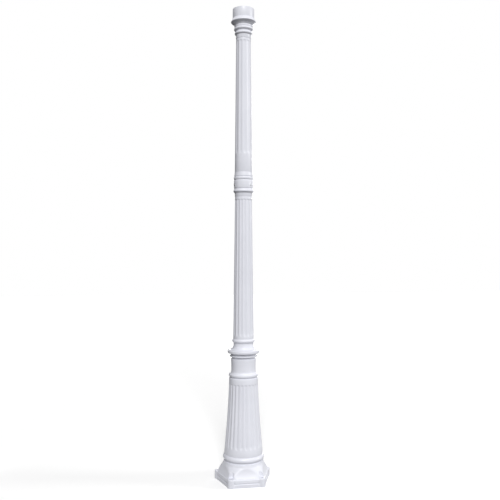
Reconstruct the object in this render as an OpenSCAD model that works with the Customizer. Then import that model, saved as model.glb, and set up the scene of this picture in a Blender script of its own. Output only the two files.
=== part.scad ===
// Fluted cast-aluminium lamp post: a five-sided foot, a fluted bell base and two tapered columns,
// joined by a turned collar and topped with a round cup for the lamp head.
// Origin on the ground, on the post's axis; +Z up.

/* [Foot] */
// Number of sides and of corner ears
foot_sides = 5; // [5:1:6]
// Distance from the axis to the upright face of each side
face_r = 84; // [82:0.5:86]
// Height of the foot's upright skirt and of its ears
skirt_h = 28; // [26:1:34]
// Height of the whole foot, up to the seat of the bell
foot_h = 72; // [70:1:86]
// Radius of the foot's round top, where the bell stands
foot_top_r = 70; // [69:0.5:71]
// Radius of the rounded ears at the corners
ear_r = 13.5; // [12:0.5:17]
// Diameter of the circle through the anchor holes
anchor_circle_d = 180; // [172:1:184]
// Diameter of the anchor holes
anchor_d = 9; // [7:0.5:12]

/* [Bell] */
// Height of the bell with its bead
bell_h = 291; // [240:1:340]
// Radius of the bead at the bell's foot
bell_bead_r = 72.5; // [71:0.5:76]
// Radius of the bell just above its bead
bell_foot_r = 67.5; // [66:0.5:69]
// Radius of the bell at its top
bell_top_r = 50.4; // [48:0.2:54]
// Radius of the long hollow curve of the bell's side
bell_curve_r = 3600; // [2600:100:6000]
// Number of flutes round the bell
bell_flutes = 24; // [16:1:28]

/* [Base neck and cap] */
// Height of the base neck
base_neck_h = 67; // [56:1:80]
// Radius of the flared ring at the neck's foot
flare_r = 51.4; // [51:0.2:54]
// Radius of the neck's plain drum
drum_r = 44; // [42:0.5:46]
// Height of the base cap
base_cap_h = 41; // [38:1:50]
// Radius of the cap's overhanging ledge
cap_ledge_r = 55.8; // [52:0.2:60]
// Height of the beaded ring round the column's foot
foot_ring_h = 30; // [28:1:36]
// Radius of that ring's bead
foot_ring_r = 39.8; // [38.6:0.2:42]

/* [Columns] */
// Length of the lower column's fluted shaft
lower_len = 499; // [400:1:700]
// Radius of the lower column at its foot
lower_foot_r = 36.3; // [35.6:0.1:37]
// Radius of the lower column at its top
lower_top_r = 29.8; // [29.4:0.1:31]
// Number of flutes round the lower column
lower_flutes = 16; // [12:1:18]
// Length of the upper column
upper_len = 471; // [380:1:650]
// Radius of the upper column at its foot
upper_foot_r = 30.6; // [30:0.1:31.4]
// Radius of the upper column at its top
upper_top_r = 26; // [25.6:0.1:27]
// Number of flutes round the upper column
upper_flutes = 12; // [8:1:14]

/* [Middle collar] */
// Height of the collar's lower ring
collar_low_h = 30; // [28:1:36]
// Height of the collar's plain band
collar_band_h = 30; // [22:1:40]
// Height of the collar's upper ring
collar_up_h = 27; // [25:1:34]
// Radius of the collar's plain band
band_r = 33.6; // [33:0.1:34.2]
// Diameter of the collar's set screws
screw_d = 6; // [4:0.5:8]

/* [Head] */
// Height of the beaded neck
head_neck_h = 49; // [47:1:56]
// Height of the flange below the fitter cup
flange_h = 22; // [20:1:30]
// Radius of that flange
flange_r = 44.2; // [42:0.2:48]
// Height of the fitter cup
fitter_h = 34; // [30:1:60]
// Diameter of the fitter cup, for a 3 inch lamp head
fitter_d = 76.2; // [74:0.2:80]

/* [Fits] */
// Wall of the hollow castings
cast_wall = 5; // [4:0.5:6]
// Clearance between pieces that slide into each other
fit = 0.3; // [0.2:0.05:0.5]
// Length of the spigots inside the columns
spigot_len = 50; // [40:1:70]
// Length of the short lips that centre the base castings
lip_len = 8; // [5:1:12]

/* [Hidden] */
paint = [0.93, 0.93, 0.95];
bare_metal = [0.72, 0.73, 0.75];
round_fn = 96;
small_fn = 48;
curve_fn = 720;
// Past a face that is cut through
over = 1;

// Seats, from the ground up
bell_z = foot_h;
neck_z = bell_z + bell_h;
cap_z = neck_z + base_neck_h;
column_z = cap_z + base_cap_h;
shaft_z = column_z + foot_ring_h;
collar_z = shaft_z + lower_len;
band_z = collar_z + collar_low_h;
collar_up_z = band_z + collar_band_h;
upper_z = collar_up_z + collar_up_h;
head_z = upper_z + upper_len;
flange_z = head_z + head_neck_h;
fitter_z = flange_z + flange_h;

// Foot
side_a = 360 / foot_sides;
anchor_r = anchor_circle_d / 2;
side_width = 4 * face_r;
pocket_r = anchor_d + 0.5;
ear_top = skirt_h + 1.5;
toe_z = skirt_h + 0.7;
roll_r = 3;
seat_r = foot_top_r - 12;

// Bell: the side is an arc through its top and bottom edge, with its centre far outside
bead_h = 22;
bead_mid = 13;
bell_edge = [bell_foot_r, 36];
bell_lip = [bell_top_r, bell_h];
side_chord = bell_lip - bell_edge;
side_mid = (bell_lip + bell_edge) / 2;
side_out = [side_chord[1], -side_chord[0]] / norm(side_chord);
side_centre = side_mid + side_out * sqrt(pow(bell_curve_r, 2) - pow(norm(side_chord) / 2, 2));
bell_edge_a = angle_from(side_centre, bell_edge);
bell_lip_a = angle_from(side_centre, bell_lip);
bell_flute_r = 8;
bell_flute_depth = 2;
bell_flute_end = 25;

// Bores and spigots
neck_bore_r = drum_r - cast_wall;
tail_r = lower_foot_r - 4.3;
cap_spigot_r = tail_r - 3 - fit;
sleeve_r = 25;
sleeve_wall = 3;
shoulder_r = 28;
head_spigot_r = 21;
cup_spigot_r = 18;
cup_spigot_len = 20;
cable_r = 13;
cup_wall = 4;
cup_floor = 5;

// Flutes of the columns
lower_cutter_r = 9;
lower_flute_depth = 1.9;
lower_plain = [20, 14];
upper_cutter_r = 14;
upper_flute_depth = 1.6;
upper_plain = [76, 13];

// Set screws of the collar
screw_turn = -48;
screw_z = collar_band_h / 2 - 3;
screw_head_r = screw_d * 0.75;
screw_head_h = 2.4;
screw_bite = 2;

// Angle of point p seen from point c, from 0 to 360
function angle_from(c, p) = (atan2(p[1] - c[1], p[0] - c[0]) + 360) % 360;

// Points along an arc of n steps round c, from angle a0 to a1
function arc(c, r, a0, a1, n = 8) =
  [for (i = [0:n]) let (a = a0 + (a1 - a0) * i / n) c + r * [cos(a), sin(a)]];

// Points of a bead's round face, standing out to radius r at height z
function bead(r, z, bead_r) = arc([r - bead_r, z], bead_r, -60, 60);

// Turned solid from half a section, given as points [radius, height]
module turned(points) {
  rotate_extrude($fn = round_fn) polygon(points);
}

// Straight round bore from height z0 to z1
module bore(r, z0, z1) {
  translate([0, 0, z0]) cylinder(r = r, h = z1 - z0, $fn = round_fn);
}

// Long round-ended cutter from p0 to p1, both in the XZ plane
module flute_cutter(p0, p1, r) {
  run = p1 - p0;
  len = norm(run);
  translate(p0) rotate([0, atan2(run[0], run[2]), 0])
    rotate_extrude($fn = small_fn) intersection() {
      union() {
        square([r, len]);
        circle(r = r, $fn = small_fn);
        translate([0, len]) circle(r = r, $fn = small_fn);
      }
      translate([0, -r]) square([r, len + 2 * r]);
    }
}

// Ring of flutes cut into a shaft that tapers from r0 at z0 to r1 at z1
module flute_ring(count, r0, z0, r1, z1, cutter_r, depth) {
  for (k = [0:count - 1])
    rotate([0, 0, k * 360 / count])
      flute_cutter([r0 + cutter_r - depth, 0, z0], [r1 + cutter_r - depth, 0, z1], cutter_r);
}

// One copy at each ear; a side between two ears faces -Y
module at_ears() {
  for (k = [0:foot_sides - 1])
    rotate([0, 0, (k + 0.5) * side_a - 90]) translate([anchor_r, 0, 0]) children();
}

// Section of a side's skirt: plain band, groove, upper band and rolled top edge
function skirt_section() = let (band_h = 11, groove = 1.6) concat(
  [[face_r, 0], [face_r, band_h], [face_r - groove, band_h + groove]],
  [[face_r - groove, band_h + 2 * groove], [face_r, band_h + 3 * groove]],
  arc([face_r - roll_r, skirt_h - roll_r], roll_r, 0, 90, 4)
);

// What is cut away outside one side, following its skirt, swelling, hollow and sloping panel
module side_waste() {
  ledge = 2.5;
  swell_r = 4.5;
  hollow_r = 70;
  turn = 28;
  swell_c = [face_r - ledge - swell_r, skirt_h];
  hollow_c = swell_c + (swell_r + hollow_r) * [cos(turn), sin(turn)];
  polygon(concat(
    [[side_width, -over], [face_r, -over]], skirt_section(),
    arc(swell_c, swell_r, 0, turn - 4, 5), arc(hollow_c, hollow_r, turn + 180, 180, 6),
    [[foot_top_r, foot_h], [foot_top_r, foot_h + over], [side_width, foot_h + over]]
  ));
}

// Round block trimmed by all the sides
module sides_body() {
  difference() {
    bore(side_width / 2, 0, foot_h);
    for (k = [0:foot_sides - 1])
      rotate([0, 0, k * side_a - 90]) translate([0, side_width / 2, 0]) rotate([90, 0, 0])
        linear_extrude(height = side_width) side_waste();
  }
}

// Many-sided block with a flat at radius flat_r, facing angle a and round from there
module block(flat_r, a, z0, z1) {
  rotate([0, 0, a + side_a / 2]) translate([0, 0, z0])
    cylinder(r = flat_r / cos(side_a / 2), h = z1 - z0, $fn = foot_sides);
}

// Section of the corners above the ears, drawn from the seat of the bell down
function corner_section(inset) = let (brow_h = 9, knee_h = 20, knee_in = 11, toe_in = 2, toe_h = 12) [
  for (p = [
    [foot_top_r, foot_h], [foot_top_r + toe_in, foot_h - brow_h], [anchor_r - knee_in, foot_h - knee_h],
    [anchor_r - toe_in, skirt_h + toe_h], [anchor_r, toe_z]
  ]) p - [inset, inset]
];

module foot_plinth() {
  ear_flat_r = anchor_r + (face_r - anchor_r * cos(side_a / 2)) * cos(side_a / 2);
  ear_a = side_a / 2 - 90;
  color(paint) difference() {
    union() {
      intersection() {
        sides_body();
        block(ear_flat_r, ear_a, -over, foot_h + over);
        turned(concat(
          [[0, -over], [0, foot_h + over], [foot_top_r, foot_h + over]], corner_section(0),
          [[side_width, toe_z], [side_width, -over]]
        ));
      }
      at_ears() turned(concat(
        [[0, ear_top], [0, 0], [ear_r, 0]],
        arc([ear_r - roll_r, ear_top - roll_r], roll_r, 0, 90, 4)
      ));
    }
    difference() {
      intersection() {
        block(foot_top_r - cast_wall, -90, -over, foot_h);
        turned(concat(
          [[0, -over], [0, foot_h - cast_wall]], corner_section(cast_wall),
          [[anchor_r - cast_wall, -over]]
        ));
      }
      at_ears() bore(ear_r, -2 * over, foot_h);
    }
    bore(seat_r, foot_h - 2 * cast_wall, foot_h + over);
    at_ears() bore(anchor_d / 2, -over, ear_top + over);
    at_ears() bore(pocket_r, ear_top, foot_h);
  }
}

// One flute of the bell, bent to the curve of its side: two halves end to end, with rounded ends
module bell_flute() {
  trim = bell_flute_end / bell_curve_r * 180 / PI;
  half_sweep = (bell_edge_a - bell_lip_a) / 2 - trim;
  cutter_x = bell_curve_r - bell_flute_r + bell_flute_depth;
  translate([side_centre[0], 0, side_centre[1]]) rotate([90, 0, 0]) {
    for (half = [0, 1])
      rotate([0, 0, bell_lip_a + trim + half * half_sweep])
        rotate_extrude(angle = half_sweep, $fn = curve_fn)
          translate([cutter_x, 0]) circle(r = bell_flute_r, $fn = small_fn);
    for (end = [0, 2])
      rotate([0, 0, bell_lip_a + trim + end * half_sweep])
        translate([cutter_x, 0, 0]) sphere(r = bell_flute_r, $fn = small_fn);
  }
}

module base_bell() {
  lip_r = seat_r - fit;
  rim_h = 2;
  bead_shoulder = bead_mid + bead_h / 2;
  color(paint) translate([0, 0, bell_z]) difference() {
    turned(concat(
      [[lip_r - cast_wall, -lip_len], [lip_r, -lip_len], [lip_r, 0]],
      [[foot_top_r - 2, 0], [foot_top_r - 2, rim_h]],
      bead(bell_bead_r, bead_mid, bead_h / 2), [[bell_foot_r, bead_shoulder + 2]],
      arc(side_centre, bell_curve_r, bell_edge_a, bell_lip_a),
      arc(side_centre, bell_curve_r + cast_wall, bell_lip_a, bell_edge_a),
      [[lip_r - cast_wall, bead_mid]]
    ));
    for (k = [0:bell_flutes - 1]) rotate([0, 0, k * 360 / bell_flutes]) bell_flute();
  }
}

module base_neck() {
  lip_r = bell_top_r - cast_wall - fit;
  groove_r = bell_top_r - 3;
  groove_h = 4;
  ring_h = 12;
  chamfer = 1.5;
  cove_r = 9;
  cove_z = 22;
  waist = 0.8;
  color(paint) translate([0, 0, neck_z]) turned(concat(
    [[lip_r - cast_wall, -lip_len], [lip_r, -lip_len], [lip_r, 0]],
    [[groove_r, 0], [groove_r, groove_h], [flare_r, groove_h + chamfer], [flare_r, ring_h]],
    arc([drum_r + cove_r - waist, cove_z], cove_r, 240, 180),
    [[drum_r - waist, (cove_z + base_neck_h) / 2], [drum_r, base_neck_h - 4], [drum_r, base_neck_h]],
    [[neck_bore_r, base_neck_h], [neck_bore_r, groove_h]]
  ));
}

module base_cap() {
  lip_r = neck_bore_r - fit;
  groove_r = neck_bore_r + 1;
  step_r = drum_r + 4;
  step_z = 6.5;
  step_h = 4;
  ledge_z = 19;
  ledge_top = 28;
  edge = 1.5;
  cove_r = 11;
  top_r = lower_foot_r + 1.2;
  color(paint) translate([0, 0, cap_z]) turned(concat(
    [[lip_r - cast_wall, -lip_len], [lip_r, -lip_len], [lip_r, 0]],
    [[groove_r, 0], [groove_r, step_z - edge], [step_r - edge / 2, step_z]],
    [[step_r, step_z + edge / 2], [step_r, step_z + step_h], [drum_r, step_z + step_h + edge]],
    [[drum_r, ledge_z - edge]],
    [[cap_ledge_r - edge, ledge_z], [cap_ledge_r, ledge_z + edge], [cap_ledge_r, ledge_top]],
    [[cap_ledge_r - edge, ledge_top + edge]],
    arc([top_r + cove_r, base_cap_h + edge], cove_r, 270, 188),
    [[cap_spigot_r, base_cap_h], [cap_spigot_r, base_cap_h + spigot_len]],
    [[cap_spigot_r - cast_wall, base_cap_h + spigot_len]],
    [[cap_spigot_r - cast_wall, base_cap_h - cast_wall], [lip_r - cast_wall, step_z + 1]]
  ));
}

module column_foot_ring() {
  bead_r = 7;
  bead_z = foot_ring_h - 9;
  waist_r = tail_r + 3;
  waist_z = 4;
  color(paint) translate([0, 0, column_z]) turned(concat(
    [[tail_r + fit, 0], [waist_r + 1.2, 0], [waist_r, waist_z], [waist_r, bead_z - bead_r - 1.5]],
    bead(foot_ring_r, bead_z, bead_r),
    [[lower_foot_r + 0.2, foot_ring_h], [tail_r + fit, foot_ring_h]]
  ));
}

module lower_column() {
  tail = foot_ring_h;
  top = tail + lower_len;
  color(paint) translate([0, 0, column_z]) difference() {
    turned([
      [cap_spigot_r + fit, 0], [tail_r, 0], [tail_r, tail], [lower_foot_r, tail], [lower_top_r, top],
      [sleeve_r + fit, top], [sleeve_r + fit, top - spigot_len - lip_len],
      [cap_spigot_r + fit, spigot_len + lip_len]
    ]);
    flute_ring(lower_flutes, lower_foot_r, tail + lower_plain[0], lower_top_r, top - lower_plain[1],
      lower_cutter_r, lower_flute_depth);
  }
}

module collar_lower_ring() {
  bead_r = 5;
  bead_out = 2.2;
  bead_z = collar_low_h - 10;
  fillet_h = 3;
  color(paint) translate([0, 0, collar_z]) turned(concat(
    [[shoulder_r + fit, 0], [lower_top_r + 0.4, 0], [lower_top_r + 1, bead_z - bead_r - 3]],
    bead(band_r + bead_out, bead_z, bead_r),
    [[band_r - 1, collar_low_h - fillet_h], [band_r - 1, collar_low_h], [shoulder_r + fit, collar_low_h]]
  ));
}

module collar_band() {
  edge = 1.2;
  color(paint) translate([0, 0, band_z]) difference() {
    turned([
      [shoulder_r + fit, 0], [band_r - edge, 0], [band_r, edge], [band_r, collar_band_h - 3 * edge],
      [band_r - edge, collar_band_h - 2 * edge], [band_r - edge, collar_band_h],
      [shoulder_r + fit, collar_band_h]
    ]);
    screw_holes();
  }
}

module collar_upper_ring() {
  roll = 0.6;
  groove = 2;
  groove_z = 10;
  shoulder_h = 20;
  color(paint) translate([0, 0, collar_up_z]) turned([
    [shoulder_r + fit, 0], [band_r - 1, 0], [band_r + roll, groove], [band_r + roll, groove_z - groove],
    [band_r - roll, groove_z], [band_r - groove, groove_z], [band_r - groove, groove_z + groove],
    [band_r - roll, groove_z + 1.5 * groove], [upper_foot_r + 0.6, shoulder_h],
    [upper_foot_r + 0.4, collar_up_h], [shoulder_r + fit, collar_up_h]
  ]);
}

// Frame of set screw k: its axis points outwards from the sleeve at the middle of the band
module screw_place(k) {
  rotate([0, 0, screw_turn + k * 120]) translate([0, 0, screw_z]) rotate([0, 90, 0]) children();
}

// Clearance holes of the three set screws, in the band's own frame
module screw_holes() {
  for (k = [0:2]) screw_place(k) cylinder(d = screw_d + 2 * fit, h = 2 * band_r, $fn = small_fn);
}

module coupling_sleeve() {
  bore_r = sleeve_r - sleeve_wall;
  color(bare_metal) difference() {
    turned([
      [bore_r, collar_z - spigot_len], [sleeve_r, collar_z - spigot_len], [sleeve_r, collar_z],
      [shoulder_r, collar_z], [shoulder_r, upper_z], [sleeve_r, upper_z],
      [sleeve_r, upper_z + spigot_len], [bore_r, upper_z + spigot_len]
    ]);
    translate([0, 0, band_z]) screw_holes();
  }
}

// Button-head set screw k, through the band and into the sleeve's shoulder
module collar_screw(k) {
  tip = shoulder_r - screw_bite;
  socket_d = screw_d * 0.6;
  color(bare_metal) translate([0, 0, band_z]) screw_place(k) difference() {
    union() {
      translate([0, 0, tip]) cylinder(d = screw_d, h = band_r - tip + screw_head_h / 2, $fn = small_fn);
      translate([0, 0, band_r]) cylinder(r = screw_head_r, h = screw_head_h, $fn = small_fn);
    }
    translate([0, 0, band_r + screw_head_h / 3]) cylinder(d = socket_d, h = screw_head_h, $fn = 6);
  }
}

module upper_column() {
  color(paint) translate([0, 0, upper_z]) difference() {
    turned([
      [sleeve_r + fit, 0], [upper_foot_r, 0], [upper_top_r, upper_len], [head_spigot_r + fit, upper_len],
      [head_spigot_r + fit, upper_len - spigot_len], [sleeve_r + fit, spigot_len + lip_len]
    ]);
    flute_ring(upper_flutes, upper_foot_r - 0.6, upper_plain[0], upper_top_r + 0.1,
      upper_len - upper_plain[1], upper_cutter_r, upper_flute_depth);
  }
}

module head_neck() {
  low_bead_r = 5.5;
  low_z = 19.5;
  high_bead_r = 5;
  high_z = 34;
  bead_r = upper_top_r + 5;
  plug_len = spigot_len - lip_len;
  throat_r = bead_r + 0.8;
  foot_r = upper_top_r + 0.6;
  seat_z = head_neck_h - cup_spigot_len - fit;
  color(paint) translate([0, 0, head_z]) turned(concat(
    [[cable_r, -plug_len], [head_spigot_r, -plug_len], [head_spigot_r, 0]],
    [[foot_r, 0], [foot_r, low_z - low_bead_r - 1]],
    bead(bead_r, low_z, low_bead_r),
    [[bead_r - 2.4, (low_z + high_z) / 2]],
    bead(bead_r + 2.5, high_z, high_bead_r),
    [[throat_r, high_z + 7], [throat_r, head_neck_h], [cup_spigot_r + fit, head_neck_h]],
    [[cup_spigot_r + fit, seat_z], [cable_r, seat_z]]
  ));
}

module head_flange() {
  under_r = 33.5;
  rim_z = 10;
  rim_h = 2;
  edge = 1.4;
  color(paint) translate([0, 0, flange_z]) turned([
    [cup_spigot_r + fit, 0], [under_r, 0], [under_r + edge, rim_z / 3], [flange_r - edge, rim_z - edge],
    [flange_r, rim_z], [flange_r, rim_z + rim_h / 2], [flange_r - edge, rim_z + 1.5 * rim_h],
    [fitter_d / 2 + 1.2, flange_h], [cup_spigot_r + fit, flange_h]
  ]);
}

module fitter_cup() {
  cup_r = fitter_d / 2;
  plug_len = flange_h + cup_spigot_len;
  color(paint) translate([0, 0, fitter_z]) turned([
    [cable_r, -plug_len], [cup_spigot_r, -plug_len], [cup_spigot_r, 0], [cup_r, 0],
    [cup_r, fitter_h], [cup_r - cup_wall, fitter_h], [cup_r - cup_wall, cup_floor], [cable_r, cup_floor]
  ]);
}

foot_plinth();
base_bell();
base_neck();
base_cap();
column_foot_ring();
lower_column();
collar_lower_ring();
collar_band();
collar_upper_ring();
coupling_sleeve();
upper_column();
head_neck();
head_flange();
fitter_cup();
collar_screw(0);  // collar_screw_1
collar_screw(1);  // collar_screw_2
collar_screw(2);  // collar_screw_3
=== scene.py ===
import math

import bmesh
import bpy
from mathutils import Matrix, Vector


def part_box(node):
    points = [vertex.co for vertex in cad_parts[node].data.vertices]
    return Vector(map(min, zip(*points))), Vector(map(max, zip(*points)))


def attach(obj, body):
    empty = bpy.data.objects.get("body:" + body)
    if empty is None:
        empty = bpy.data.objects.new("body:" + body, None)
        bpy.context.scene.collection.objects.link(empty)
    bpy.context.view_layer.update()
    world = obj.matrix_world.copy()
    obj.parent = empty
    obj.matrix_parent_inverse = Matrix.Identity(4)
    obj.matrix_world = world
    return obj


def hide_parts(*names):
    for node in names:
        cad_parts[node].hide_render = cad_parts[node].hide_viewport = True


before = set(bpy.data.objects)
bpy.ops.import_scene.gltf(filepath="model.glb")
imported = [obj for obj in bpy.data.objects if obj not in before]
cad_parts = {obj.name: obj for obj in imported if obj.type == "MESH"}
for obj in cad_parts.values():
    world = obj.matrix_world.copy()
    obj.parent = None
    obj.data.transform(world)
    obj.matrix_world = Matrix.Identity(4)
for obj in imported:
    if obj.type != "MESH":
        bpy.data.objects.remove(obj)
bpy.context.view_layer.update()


# Camera: level, at half the height of the post and to the left of the foot's front side, near
# enough that the foot is seen from above and the head from below. It isn't shifted.
scene = bpy.context.scene
camera_azimuth = math.radians(-8.3)
camera_distance = 2.2
camera_height = 0.812
aim_right = math.radians(0.6)
camera = bpy.data.objects.new("camera", bpy.data.cameras.new("camera"))
camera.data.sensor_width = 36
camera.data.lens = 44.7
camera.location = (
    math.sin(camera_azimuth) * camera_distance,
    -math.cos(camera_azimuth) * camera_distance,
    camera_height,
)
camera.rotation_euler = (math.pi / 2, 0, camera_azimuth - aim_right)
scene.collection.objects.link(camera)
scene.camera = camera
scene.view_settings.view_transform = "Standard"


# Studio: a seamless white floor under a white surround, with a high lamp in front, a low weak one
# at either side and one close above the floor behind. The floor takes the post's shadow and
# throws little light back at it.
class Wire:
    """A shader socket that sums are written on"""

    def __init__(self, tree, socket=None):
        self.tree, self.socket = tree, socket

    def node(self, kind, settings=(), inputs=(), output=0):
        """One new node, with its settings and the values or wires of its inputs"""
        made = self.tree.nodes.new(kind)
        for key, value in dict(settings).items():
            if key == "stops":
                for stop, (place, shade) in zip(made.color_ramp.elements, value):
                    stop.position, stop.color = place, (*shade, 1)
            else:
                setattr(made, key, value)
        for key, value in dict(inputs).items():
            if isinstance(value, Wire):
                self.tree.links.new(value.socket, made.inputs[key])
            else:
                made.inputs[key].default_value = value
        return Wire(self.tree, made.outputs[output] if made.outputs else None)

    def sum(self, operation, a, b):
        return self.node("ShaderNodeMath", {"operation": operation}, {0: a, 1: b})

    def __add__(self, other):
        return self.sum("ADD", self, other)

    def __radd__(self, other):
        return self.sum("ADD", other, self)

    def __mul__(self, other):
        return self.sum("MULTIPLY", self, other)

    def __rmul__(self, other):
        return self.sum("MULTIPLY", other, self)


def new_material(name):
    """An empty node material and the wire that its nodes start from"""
    made = bpy.data.materials.new(name)
    made.use_nodes = True
    made.node_tree.nodes.clear()
    return made, Wire(made.node_tree)


def seen_directly(wire):
    """1 for camera, glossy and transmission rays, 0 for the light that falls on the post"""
    camera_ray = wire.node("ShaderNodeLightPath", output="Is Camera Ray")
    glossy_ray = wire.node("ShaderNodeLightPath", output="Is Glossy Ray")
    through_ray = wire.node("ShaderNodeLightPath", output="Is Transmission Ray")
    return camera_ray.sum("MAXIMUM", camera_ray.sum("MAXIMUM", camera_ray, glossy_ray), through_ray)


def finished(name, mesh_work, material):
    """Turns finished mesh work into an object of the scene"""
    mesh = bpy.data.meshes.new(name)
    mesh_work.to_mesh(mesh)
    mesh_work.free()
    mesh.materials.append(material)
    made = bpy.data.objects.new(name, mesh)
    scene.collection.objects.link(made)
    return made


floor_paint, wire = new_material("studio_floor")
grey_floor = wire.node("ShaderNodeBsdfDiffuse", inputs={"Color": (0.1, 0.1, 0.1, 1)})
white_floor = wire.node("ShaderNodeBsdfDiffuse", inputs={"Color": (0.9, 0.9, 0.9, 1)})
floor_glow = wire.node("ShaderNodeEmission", inputs={"Strength": 0.28})
lit_floor = wire.node("ShaderNodeAddShader", inputs={0: white_floor, 1: floor_glow})
floor_mix = wire.node("ShaderNodeMixShader", inputs={
    "Fac": seen_directly(wire), 1: grey_floor, 2: lit_floor,
})
wire.node("ShaderNodeOutputMaterial", inputs={"Surface": floor_mix})

floor_work = bmesh.new()
bmesh.ops.create_grid(floor_work, x_segments=2, y_segments=2, size=9)
finished("studio_floor", floor_work, floor_paint)

world = bpy.data.worlds.new("studio")
world.use_nodes = True
world.node_tree.nodes.clear()
scene.world = world
wire = Wire(world.node_tree)
surround_light = 0.34
surround = wire.node("ShaderNodeBackground", inputs={
    "Color": (1.0, 1.0, 1.0, 1),
    "Strength": seen_directly(wire) * (1 - surround_light) + surround_light,
})
wire.node("ShaderNodeOutputWorld", inputs={"Surface": surround})


def lamp(name, turn, rise, softness, strength):
    """A far soft lamp at a turn to the right of the camera and a rise above the floor"""
    data = bpy.data.lights.new(name, "SUN")
    data.angle, data.energy = math.radians(softness), strength
    made = bpy.data.objects.new(name, data)
    around = camera_azimuth + math.radians(turn)
    made.rotation_euler = (math.radians(90 - rise), 0, around)
    scene.collection.objects.link(made)


lamp("key_lamp", 2, 38, 18, 2.32)
lamp("left_lamp", -55, 8, 16, 0.4)
lamp("right_lamp", 88, 16, 14, 1.05)
lamp("back_lamp", 172, 2, 30, 1.8)


# Dark card: stands upright from the left to behind the post, where it draws a dark edge down the
# white post. Neither the camera nor the lamps take notice of it.
card_paint, wire = new_material("studio_card")
seen_by_camera = wire.node("ShaderNodeLightPath", output="Is Camera Ray")
seen_by_lamps = wire.node("ShaderNodeLightPath", output="Is Shadow Ray")
card_black = wire.node("ShaderNodeBsdfDiffuse", inputs={"Color": (0.02, 0.02, 0.02, 1)})
card_clear = wire.node("ShaderNodeBsdfTransparent")
card_mix = wire.node("ShaderNodeMixShader", inputs={
    "Fac": wire.sum("MAXIMUM", seen_by_camera, seen_by_lamps), 1: card_black, 2: card_clear,
})
wire.node("ShaderNodeOutputMaterial", inputs={"Surface": card_mix})

card_height, card_width = 2.4, 3.7
card_middle = (-0.7, 0.85, 1.25)
card_turn = math.radians(-19)
card_work = bmesh.new()
bmesh.ops.create_grid(card_work, x_segments=2, y_segments=2, size=1)
bmesh.ops.scale(card_work, verts=card_work.verts, vec=(card_height / 2, card_width / 2, 1))
for turn, axis in ((math.pi / 2, "Y"), (card_turn, "Z")):
    bmesh.ops.rotate(
        card_work, verts=card_work.verts, cent=(0, 0, 0), matrix=Matrix.Rotation(turn, 3, axis)
    )
bmesh.ops.translate(card_work, verts=card_work.verts, vec=card_middle)
finished("studio_card", card_work, card_paint)


# Foot: one hollow aluminium casting with five moulded sides and a bored ear at each corner, bolted
# to the ground. Its roof draws in to the round seat of the bell. Like every casting of the post it
# has a baked white powder coat of half gloss, with a fine orange peel.
powder_coat, wire = new_material("white_powder_coat")
place = wire.node("ShaderNodeTexCoord", output="Object")
peel = wire.node("ShaderNodeTexNoise", inputs={"Vector": place, "Scale": 520, "Detail": 2})
cast_skin = wire.node("ShaderNodeTexNoise", inputs={"Vector": place, "Scale": 38, "Detail": 3})
cloud = wire.node("ShaderNodeTexNoise", inputs={"Vector": place, "Scale": 9, "Detail": 2})
relief = wire.node("ShaderNodeBump", inputs={
    "Strength": 0.35, "Distance": 0.00025, "Height": peel + cast_skin * 1.5,
})
coat_shade = wire.node("ShaderNodeValToRGB", {
    "stops": [(0.3, (0.745, 0.755, 0.82)), (0.7, (0.785, 0.795, 0.86))],
}, {"Fac": cloud})
coat = wire.node("ShaderNodeBsdfPrincipled", inputs={
    "Base Color": coat_shade,
    "Roughness": cast_skin * 0.10 + 0.4,
    "IOR": 1.5,
    "Coat Weight": 0.15,
    "Coat Roughness": 0.2,
    "Normal": relief,
})
wire.node("ShaderNodeOutputMaterial", inputs={"Surface": coat})

MM = 0.001


def arc(centre, radius, start, end, steps=12):
    """Points [radius, height] along an arc, with its angles in degrees"""
    turns = [math.radians(start + (end - start) * i / steps) for i in range(steps + 1)]
    return [(centre[0] + radius * math.cos(a), centre[1] + radius * math.sin(a)) for a in turns]


def levels(low, high, steps):
    """Evenly spaced heights from low to high"""
    return [low + (high - low) * i / steps for i in range(steps + 1)]


def spun(section, seat, steps):
    """A ring-shaped solid turned from a closed half section in millimetres, standing at seat"""
    work = bmesh.new()
    corners = [work.verts.new((r * MM, 0, seat + z * MM)) for r, z in section]
    sides = [work.edges.new(pair) for pair in zip(corners, corners[1:] + corners[:1])]
    bmesh.ops.spin(
        work, geom=corners + sides, cent=(0, 0, 0), axis=(0, 0, 1), dvec=(0, 0, 0),
        angle=2 * math.pi, steps=steps, use_merge=True,
    )
    bmesh.ops.remove_doubles(work, verts=work.verts, dist=0.001 * MM)
    bmesh.ops.recalc_face_normals(work, faces=work.faces)
    return work


def shaded(made, angle=34):
    """Smooth shading that stays crisp at edges sharper than the angle"""
    made.data.shade_smooth()
    made.data.set_sharp_from_angle(angle=math.radians(angle))
    return made


def between(points, z):
    """Radius at height z on a line through points [radius, height], listed from below"""
    for (r0, z0), (r1, z1) in zip(points, points[1:]):
        if z <= z1:
            return r0 + (r1 - r0) * (z - z0) / (z1 - z0)
    return points[-1][0]


foot_top = (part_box("foot_plinth")[1].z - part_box("foot_plinth")[0].z) / MM
foot_sides = 5
first_ear = -54
ear_centre = 90
ear_radius = 13.5
ear_roll = 3
ear_top = 29.5
bolt_hole = 4.5
blind_end = 1
pocket = 9.5
blunt_corner = 99
foot_wall = 5
hollow_side = 65
hollow_corner = 76
seat_bore = 58
seat_ledge = 66
SIDE = (
    [(84, 0), (84, 11), (82.4, 12.6), (82.4, 14.2), (84, 15.8)] + arc((81, 25), 3, 0, 84, 4)
    + arc((77, 28), 4.5, 4, 24, 3) + arc((142.8, 63), 70, 207, 180, 12) + [(70, foot_top)]
)
CORNER = [(110, 28.6), (90, 28.7), (88, 40), (79, 52), (72, 63), (70, foot_top)]
EAR_COLUMNS = [0, 1.5, 3, 4.2, 5.1, 5.7, 6.06, 6.7, 7.2, 7.65]
EAR_COLUMNS += [7.65 + 28.35 * i / 15 for i in range(1, 16)]
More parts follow.
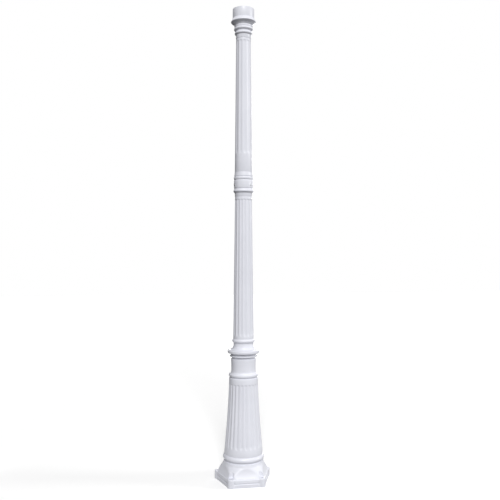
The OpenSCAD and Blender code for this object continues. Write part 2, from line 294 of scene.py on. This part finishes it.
half_side = len(EAR_COLUMNS) - 1
foot_steps = 2 * half_side * foot_sides


def softly(a, b, ease):
    """The smaller of two lengths, eased into each other"""
    near = max(ease - abs(a - b), 0) / ease
    return min(a, b) - near * near * ease / 4


def foot_radius(turn, z, cut):
    """Outside of the foot at a turn from an ear's middle; cut takes the bolt's pocket out of it"""
    side = between(SIDE, z) / math.cos(math.radians(180 / foot_sides - turn))
    corner = blunt_corner / math.cos(math.radians(turn))
    r = min(side, corner)
    if z >= CORNER[1][1]:
        r = softly(r, between(CORNER, z), ease=2.5)
    across = ear_centre * math.sin(math.radians(turn))
    along = ear_centre * math.cos(math.radians(turn))
    if cut:
        if across < pocket:
            r = min(r, along - math.sqrt(pocket ** 2 - across ** 2))
        return r
    ear = ear_radius
    if z > ear_top - ear_roll:
        ear += math.sqrt(max(ear_roll ** 2 - (z - ear_top + ear_roll) ** 2, 0)) - ear_roll
    if across < ear:
        r = max(r, along + math.sqrt(ear ** 2 - across ** 2))
    return r


skirt_rows = sorted({round(z, 3) for r, z in SIDE if z < ear_top} | {26.5, 27.3, 28.7, 29.2, ear_top})
roof_rows = [ear_top + 0.6, 31, 33] + levels(35, 53, 12) + levels(55, foot_top, 8)
skirt_blank, roof_blank, hollow_blank = 90, 86, 64
foot_section = (
    [(skirt_blank, z) for z in skirt_rows] + [(roof_blank, z) for z in [ear_top] + roof_rows]
    + [(seat_bore, foot_top), (seat_bore, seat_ledge)]
    + [(hollow_blank, z) for z in (seat_ledge, 58, 47, 0)]
)
foot_work = spun(foot_section, 0, foot_steps)
step_angle = 360 / foot_steps
for vert in foot_work.verts:
    r, z = math.hypot(vert.co.x, vert.co.y) / MM, vert.co.z / MM
    if r < seat_bore + 2:
        continue
    column = round(math.degrees(math.atan2(vert.co.y, vert.co.x)) / step_angle)
    step = (column - round(first_ear / step_angle) + half_side) % (2 * half_side) - half_side
    turn = EAR_COLUMNS[abs(step)]
    if r > roof_blank - 2:
        r = foot_radius(turn, z, r < roof_blank + 2)
    else:
        side = hollow_side / math.cos(math.radians(180 / foot_sides - turn))
        r = min(side, hollow_corner, between(CORNER[1:], z + foot_wall) - foot_wall)
    angle = math.radians((column - step) * step_angle + math.copysign(turn, step))
    vert.co.x, vert.co.y = r * MM * math.cos(angle), r * MM * math.sin(angle)
bmesh.ops.remove_doubles(foot_work, verts=foot_work.verts, dist=0.01 * MM)


def on_lid(vert, centre):
    """Whether a point lies on the flat top of the ear round centre"""
    flat = (ear_radius - ear_roll + 0.3) * MM
    return (vert.co - centre).length < flat and abs(vert.co.z - centre.z) < 0.01 * MM


for number in range(foot_sides):
    angle = math.radians(360 / foot_sides * number + first_ear)
    centre = Vector((math.cos(angle), math.sin(angle), 0)) * ear_centre * MM
    centre.z = ear_top * MM
    lids = [
        face for face in foot_work.faces
        if len(face.verts) == 4 and all(on_lid(vert, centre) for vert in face.verts)
    ]
    bmesh.ops.delete(foot_work, geom=lids, context="FACES")
    for drop in (0, blind_end - ear_top):
        rim = [edge for edge in foot_work.edges if edge.is_boundary]
        drawn = bmesh.ops.extrude_edge_only(foot_work, edges=rim)["geom"]
        bottom = [item for item in drawn if isinstance(item, bmesh.types.BMVert)]
        for vert in bottom:
            vert.co = centre + (vert.co - centre).normalized() * bolt_hole * MM
            vert.co.z += drop * MM
    bmesh.ops.contextual_create(foot_work, geom=bottom)
bmesh.ops.recalc_face_normals(foot_work, faces=foot_work.faces)
foot = shaded(finished("foot_casting", foot_work, powder_coat), 30)
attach(foot, "root")
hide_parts("foot_plinth")


# Bell: the tall hollow aluminium casting over the foot, with a round bead below and 24 round-ended
# flutes up its slightly hollow side. A lip under it centres it in the foot.
def rounded_edges(work, edges, width, segments=3):
    """Rounds the given edges of the mesh work"""
    bmesh.ops.bevel(
        work, geom=list(edges), offset=width * MM, offset_type="OFFSET", affect="EDGES",
        segments=segments, profile=0.5, material=-1, clamp_overlap=True,
    )


def sharp_rings(work, low=-1e9, high=-1e9, angle=24):
    """The level edges where two turned faces meet at more than the angle, outside low to high"""
    for edge in work.edges:
        a, b = edge.verts
        level = abs(a.co.z - b.co.z) < 1e-7
        if level and not low < a.co.z < high and len(edge.link_faces) == 2:
            if edge.calc_face_angle() > math.radians(angle):
                yield edge


FLUTE_COLUMNS = (0, 0.22, 0.44, 0.64, 0.82)
land_columns = 3
run_out = 2.4
low_end, high_end = 16, 8


def fluted(name, inside, top, seat, side, span, run, count, cutter, depth, soften=0.6, ease=0.8):
    """A turned piece with round-ended flutes up its side. inside and top are the points before and
    after the side, side(z) is its radius over the span, and run holds the flutes' end centres. At
    its lower end a flute runs out slowly, as the cutter is drawn away"""
    low, high = run
    rows = [span[0]] + levels(low - low_end, low + 2, 16) + levels(low + 30, high - 30, 8)
    rows += levels(high - 2, high + high_end, 10) + [span[1]]
    floor_columns = len(FLUTE_COLUMNS)
    per = 2 * (floor_columns + land_columns)
    work = spun(inside + [(side(z), z) for z in rows] + top, seat, count * per)
    for vert in work.verts:
        r = math.hypot(vert.co.x, vert.co.y) / MM
        z = (vert.co.z - seat) / MM
        near = min(max(z, low), high)
        shaft = side(near)
        curve = 1 / (1 / cutter + 1 / shaft)
        half = math.sqrt(2 * depth * curve)
        edge = half + ease
        column = round(math.atan2(vert.co.y, vert.co.x) / (2 * math.pi) * count * per)
        flute = round(column / per)
        step = column - flute * per
        at = abs(step)
        if at < floor_columns:
            x = FLUTE_COLUMNS[at] * (half - ease) / FLUTE_COLUMNS[-1]
        else:
            x = edge + (math.pi * shaft / count - edge) * (at - floor_columns) / land_columns
        turn = flute * 2 * math.pi / count + math.copysign(x / shaft, step)
        if low - low_end - 1 < z < high + high_end + 1 and r > side(z) - 0.4:
            away = math.hypot(x, (z - near) / (run_out if z < low else 1))
            if away < half - ease:
                r -= depth - away * away / (2 * curve)
            elif away < edge:
                r -= half / curve * (edge - away) ** 2 / (4 * ease)
        vert.co.x, vert.co.y = r * MM * math.cos(turn), r * MM * math.sin(turn)
    bmesh.ops.recalc_face_normals(work, faces=work.faces)
    reach = [seat + (low - low_end) * MM, seat + (high + high_end) * MM]
    rounded_edges(work, sharp_rings(work, *reach), soften)
    return shaded(finished(name, work, powder_coat))


bell_lip = 8
bell_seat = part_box("base_bell")[0].z + bell_lip * MM
bell_height = (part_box("base_bell")[1].z - bell_seat) / MM
bell_edge, bell_top = 36, bell_height - 1.5
bell_hollow = 3600


def bell_side(z):
    up = (z - bell_edge) / (bell_top - bell_edge)
    return 67.5 - 17.1 * up - (z - bell_edge) * (bell_top - z) / (2 * bell_hollow)


bell = fluted(
    "fluted_bell",
    [(52.7, -bell_lip), (57.7, -bell_lip), (57.7, 0), (68, 0), (68, 2)]
    + arc((61.5, 13), 11, -60, 60, 18) + [(67.5, 26)],
    [(48.9, bell_height), (45.4, bell_height)]
    + [(bell_side(z) - 5, z) for z in (230, 170, 110, 50)] + [(52.7, 13)],
    bell_seat, bell_side, span=(bell_edge, bell_top), run=(bell_edge + 25, bell_height - 25),
    count=24, cutter=8, depth=2,
)
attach(bell, "root")
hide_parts("base_bell")


# Base neck: a turned aluminium casting with a flared ring below, a cove and a plain drum above. It
# stands on the bell, centred by its lip.
def turned(name, section, seat, steps=128, soften=0.6):
    """A painted turned piece with its sharp rings rounded"""
    work = spun(section, seat, steps)
    rounded_edges(work, sharp_rings(work), soften)
    return shaded(finished(name, work, powder_coat))


neck_lip = 8
neck_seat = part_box("base_neck")[0].z + neck_lip * MM
neck_height = (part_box("base_neck")[1].z - neck_seat) / MM
neck_section = (
    [(40.1, -neck_lip), (45.1, -neck_lip), (45.1, 0), (47.4, 0), (47.4, 4), (51.4, 5.5), (51.4, 12)]
    + arc((52.2, 22), 9, 240, 180)
    + [(43.2, 43), (44, neck_height - 4), (44, neck_height), (39, neck_height), (39, 4)]
)
neck = turned("base_neck_drum", neck_section, neck_seat)
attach(neck, "root")
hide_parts("base_neck")


# Base cap: the moulded aluminium ledge that closes the base, cast in one with the spigot that the
# lower column slides over.
cap_lip = 8
cap_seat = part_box("base_cap")[0].z + cap_lip * MM
cap_height = 41
cap_section = (
    [(33.7, -cap_lip), (38.7, -cap_lip), (38.7, 0), (40, 0), (40, 5), (47.25, 6.5), (48, 7.25)]
    + [(48, 10.5), (44, 12), (44, 17.5), (54.3, 19), (55.8, 20.5), (55.8, 28), (54.3, 29.5)]
    + arc((48.5, 42.5), 11, 270, 188)
    + [(28.7, cap_height), (28.7, 91), (23.7, 91), (23.7, 36), (33.7, 7.5)]
)
cap = turned("base_cap_ledge", cap_section, cap_seat)
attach(cap, "root")
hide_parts("base_cap")


# Column foot ring: a loose turned aluminium ring with one round bead. It rests on the base cap and
# covers the tail of the lower column.
ring_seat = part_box("column_foot_ring")[0].z
ring_section = (
    [(32.3, 0), (36.2, 0), (35, 4), (35, 12.5)]
    + arc((32.8, 21), 7, -60, 60, 14)
    + [(36.5, 30), (32.3, 30)]
)
ring = turned("column_foot_ring_bead", ring_section, ring_seat)
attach(ring, "root")
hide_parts("column_foot_ring")


# Lower column: a tapered cast tube with 16 round-ended flutes. Its plain tail stands inside the
# foot ring, on the base cap.
lower_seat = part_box("lower_column")[0].z
lower_height = (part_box("lower_column")[1].z - lower_seat) / MM
lower_tail = 30


def lower_side(z):
    return 36.3 - 6.5 * (z - lower_tail) / (lower_height - lower_tail)


lower = fluted(
    "lower_column_shaft",
    [(29, 0), (32, 0), (32, lower_tail)],
    [(25.3, lower_height), (25.3, lower_height - 58), (29, 58)],
    lower_seat, lower_side, span=(lower_tail, lower_height), run=(50, lower_height - 14),
    count=16, cutter=9, depth=1.9,
)
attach(lower, "root")
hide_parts("lower_column")


# Middle collar: three turned rings on the sleeve that joins the columns. The lower one flares to
# a bead, the plain band takes the set screws and the upper one draws in to the upper column.
collar_low_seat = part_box("collar_lower_ring")[0].z
collar_low = turned(
    "collar_flare",
    [(28.3, 0), (30.2, 0), (30.8, 12)] + arc((30.8, 20), 5, -60, 60, 14)
    + [(32.6, 27), (32.6, 30), (28.3, 30)],
    collar_low_seat,
)
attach(collar_low, "root")
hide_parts("collar_lower_ring")

band_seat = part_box("collar_band")[0].z
collar_band = turned(
    "collar_plain_band",
    [(28.3, 0), (32.4, 0), (33.6, 1.2), (33.6, 26.4), (32.4, 27.6), (32.4, 30), (28.3, 30)],
    band_seat,
)
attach(collar_band, "root")
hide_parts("collar_band")

collar_up_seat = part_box("collar_upper_ring")[0].z
collar_up = turned(
    "collar_shoulder",
    [(28.3, 0), (32.6, 0), (34.2, 2), (34.2, 8), (33, 10), (31.6, 10), (31.6, 12), (33, 13)]
    + [(31.2, 20), (31, 27), (28.3, 27)],
    collar_up_seat,
)
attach(collar_up, "root")
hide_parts("collar_upper_ring")


# Coupling sleeve: a bare turned aluminium tube inside the collar. Both columns slide over it and
# the collar's screws hold it.
bare_metal, wire = new_material("bare_aluminium")
place = wire.node("ShaderNodeTexCoord", output="Object")
lathe_lines = wire.node("ShaderNodeTexWave", {"bands_direction": "Z"}, {
    "Vector": place, "Scale": 700, "Distortion": 1,
})
lathe_relief = wire.node("ShaderNodeBump", inputs={
    "Strength": 0.2, "Distance": 0.00005, "Height": lathe_lines,
})
bare = wire.node("ShaderNodeBsdfPrincipled", inputs={
    "Base Color": (0.72, 0.73, 0.75, 1),
    "Metallic": 1.0,
    "Roughness": lathe_lines * 0.08 + 0.32,
    "Normal": lathe_relief,
})
wire.node("ShaderNodeOutputMaterial", inputs={"Surface": bare})
sleeve_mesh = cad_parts["coupling_sleeve"].data
sleeve_mesh.materials.clear()
sleeve_mesh.materials.append(bare_metal)


# Collar screws: three stainless steel button-head screws with a hexagon socket. They go through
# the band into the sleeve, evenly spaced round the collar.
screw_steel, wire = new_material("stainless_screw")
place = wire.node("ShaderNodeTexCoord", output="Object")
scuff = wire.node("ShaderNodeTexNoise", inputs={"Vector": place, "Scale": 900, "Detail": 2})
steel = wire.node("ShaderNodeBsdfPrincipled", inputs={
    "Base Color": (0.62, 0.63, 0.65, 1),
    "Metallic": 1.0,
    "Roughness": scuff * 0.15 + 0.25,
})
wire.node("ShaderNodeOutputMaterial", inputs={"Surface": steel})

band_radius = 33.6
shank_radius, shank_length = 3, 7.6
button_radius, button_rim, button_height = 4.5, 0.7, 2.2
dome_radius, dome_centre = 6.05, -3.35
socket_radius, socket_depth = 2.05, 1.5
for number in (1, 2, 3):
    node = f"collar_screw_{number}"
    low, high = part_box(node)
    middle = (low + high) / 2
    work = bmesh.new()
    outline = [(0, -shank_length), (shank_radius, -shank_length), (shank_radius, 0)]
    outline += [(button_radius, 0), (button_radius, button_rim)]
    outline += arc((0, dome_centre), dome_radius, 42, 68, 6)
    points = [work.verts.new((r * MM, 0, z * MM)) for r, z in outline]
    sides = [work.edges.new(pair) for pair in zip(points, points[1:])]
    bmesh.ops.spin(
        work, geom=points + sides, cent=(0, 0, 0), axis=(0, 0, 1), dvec=(0, 0, 0),
        angle=2 * math.pi, steps=36, use_merge=True,
    )
    bmesh.ops.remove_doubles(work, verts=work.verts, dist=0.001 * MM)
    mouth = [edge for edge in work.edges if edge.is_boundary]
    socket = bmesh.ops.create_circle(work, segments=6, radius=socket_radius * MM)["verts"]
    bmesh.ops.translate(work, verts=socket, vec=(0, 0, button_height * MM))
    hexagon = [edge for edge in socket[0].link_edges] + [
        edge for edge in work.edges
        if all(v in socket for v in edge.verts) and socket[0] not in edge.verts
    ]
    bmesh.ops.bridge_loops(work, edges=mouth + hexagon)
    walls = bmesh.ops.extrude_edge_only(work, edges=hexagon)["geom"]
    bottom = [item for item in walls if isinstance(item, bmesh.types.BMVert)]
    bmesh.ops.translate(work, verts=bottom, vec=(0, 0, -socket_depth * MM))
    bmesh.ops.contextual_create(work, geom=bottom)
    bmesh.ops.recalc_face_normals(work, faces=work.faces)
    bmesh.ops.rotate(
        work, verts=work.verts, cent=(0, 0, 0), matrix=Matrix.Rotation(math.pi / 2, 3, "Y")
    )
    bmesh.ops.translate(work, verts=work.verts, vec=(band_radius * MM, 0, middle.z))
    bmesh.ops.rotate(
        work, verts=work.verts, cent=(0, 0, 0),
        matrix=Matrix.Rotation(math.atan2(middle.y, middle.x), 3, "Z"),
    )
    screw = shaded(finished(f"button_screw_{number}", work, screw_steel), 30)
    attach(screw, "root")
    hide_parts(node)


# Upper column: a slimmer tapered cast tube with 12 broad shallow flutes, plain for a hand's width
# above the collar.
upper_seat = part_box("upper_column")[0].z
upper_height = (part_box("upper_column")[1].z - upper_seat) / MM


def upper_side(z):
    return 30.6 - 4.6 * z / upper_height


upper = fluted(
    "upper_column_shaft",
    [(25.3, 0)],
    [(21.3, upper_height), (21.3, upper_height - 50), (25.3, 58)],
    upper_seat, upper_side, span=(0, upper_height), run=(76, upper_height - 13),
    count=12, cutter=14, depth=1.6,
)
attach(upper, "root")
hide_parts("upper_column")


# Head neck: a turned aluminium casting with two round beads, whose plug stands in the top of the
# upper column.
plug = 42
head_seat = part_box("head_neck")[0].z + plug * MM
head_section = (
    [(13, -plug), (21, -plug), (21, 0), (26.6, 0), (26.6, 13)]
    + arc((25.5, 19.5), 5.5, -60, 60, 14)
    + [(28.6, 26.75)]
    + arc((28.5, 34), 5, -60, 60, 14)
    + [(31.8, 41), (31.8, 49), (18.3, 49), (18.3, 28.7), (13, 28.7)]
)
head = turned("head_neck_beads", head_section, head_seat)
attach(head, "root")
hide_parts("head_neck")


# Head flange: the turned aluminium disc that the rim of a lamp head comes down on. It lies between
# the head neck and the cup.
flange_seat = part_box("head_flange")[0].z
flange = turned(
    "head_flange_disc",
    [(18.3, 0), (33.5, 0), (34.9, 3.3), (42.8, 8.6), (44.2, 10), (44.2, 11), (42.8, 13)]
    + [(39.3, 22), (18.3, 22)],
    flange_seat,
)
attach(flange, "root")
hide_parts("head_flange")


# Fitter cup: the open turned cup on top, for the ring of a 3 inch lamp head, with the hole for
# its cable in the middle. Its plug goes down through the flange into the neck.
cup_plug = 42
cup_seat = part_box("fitter_cup")[0].z + cup_plug * MM
cup_height = (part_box("fitter_cup")[1].z - cup_seat) / MM
cup = turned(
    "fitter_cup_turned",
    [(13, -cup_plug), (18, -cup_plug), (18, 0), (38.1, 0), (38.1, cup_height), (34.1, cup_height)]
    + [(34.1, 5), (13, 5)],
    cup_seat,
)
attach(cup, "root")
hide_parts("fitter_cup")
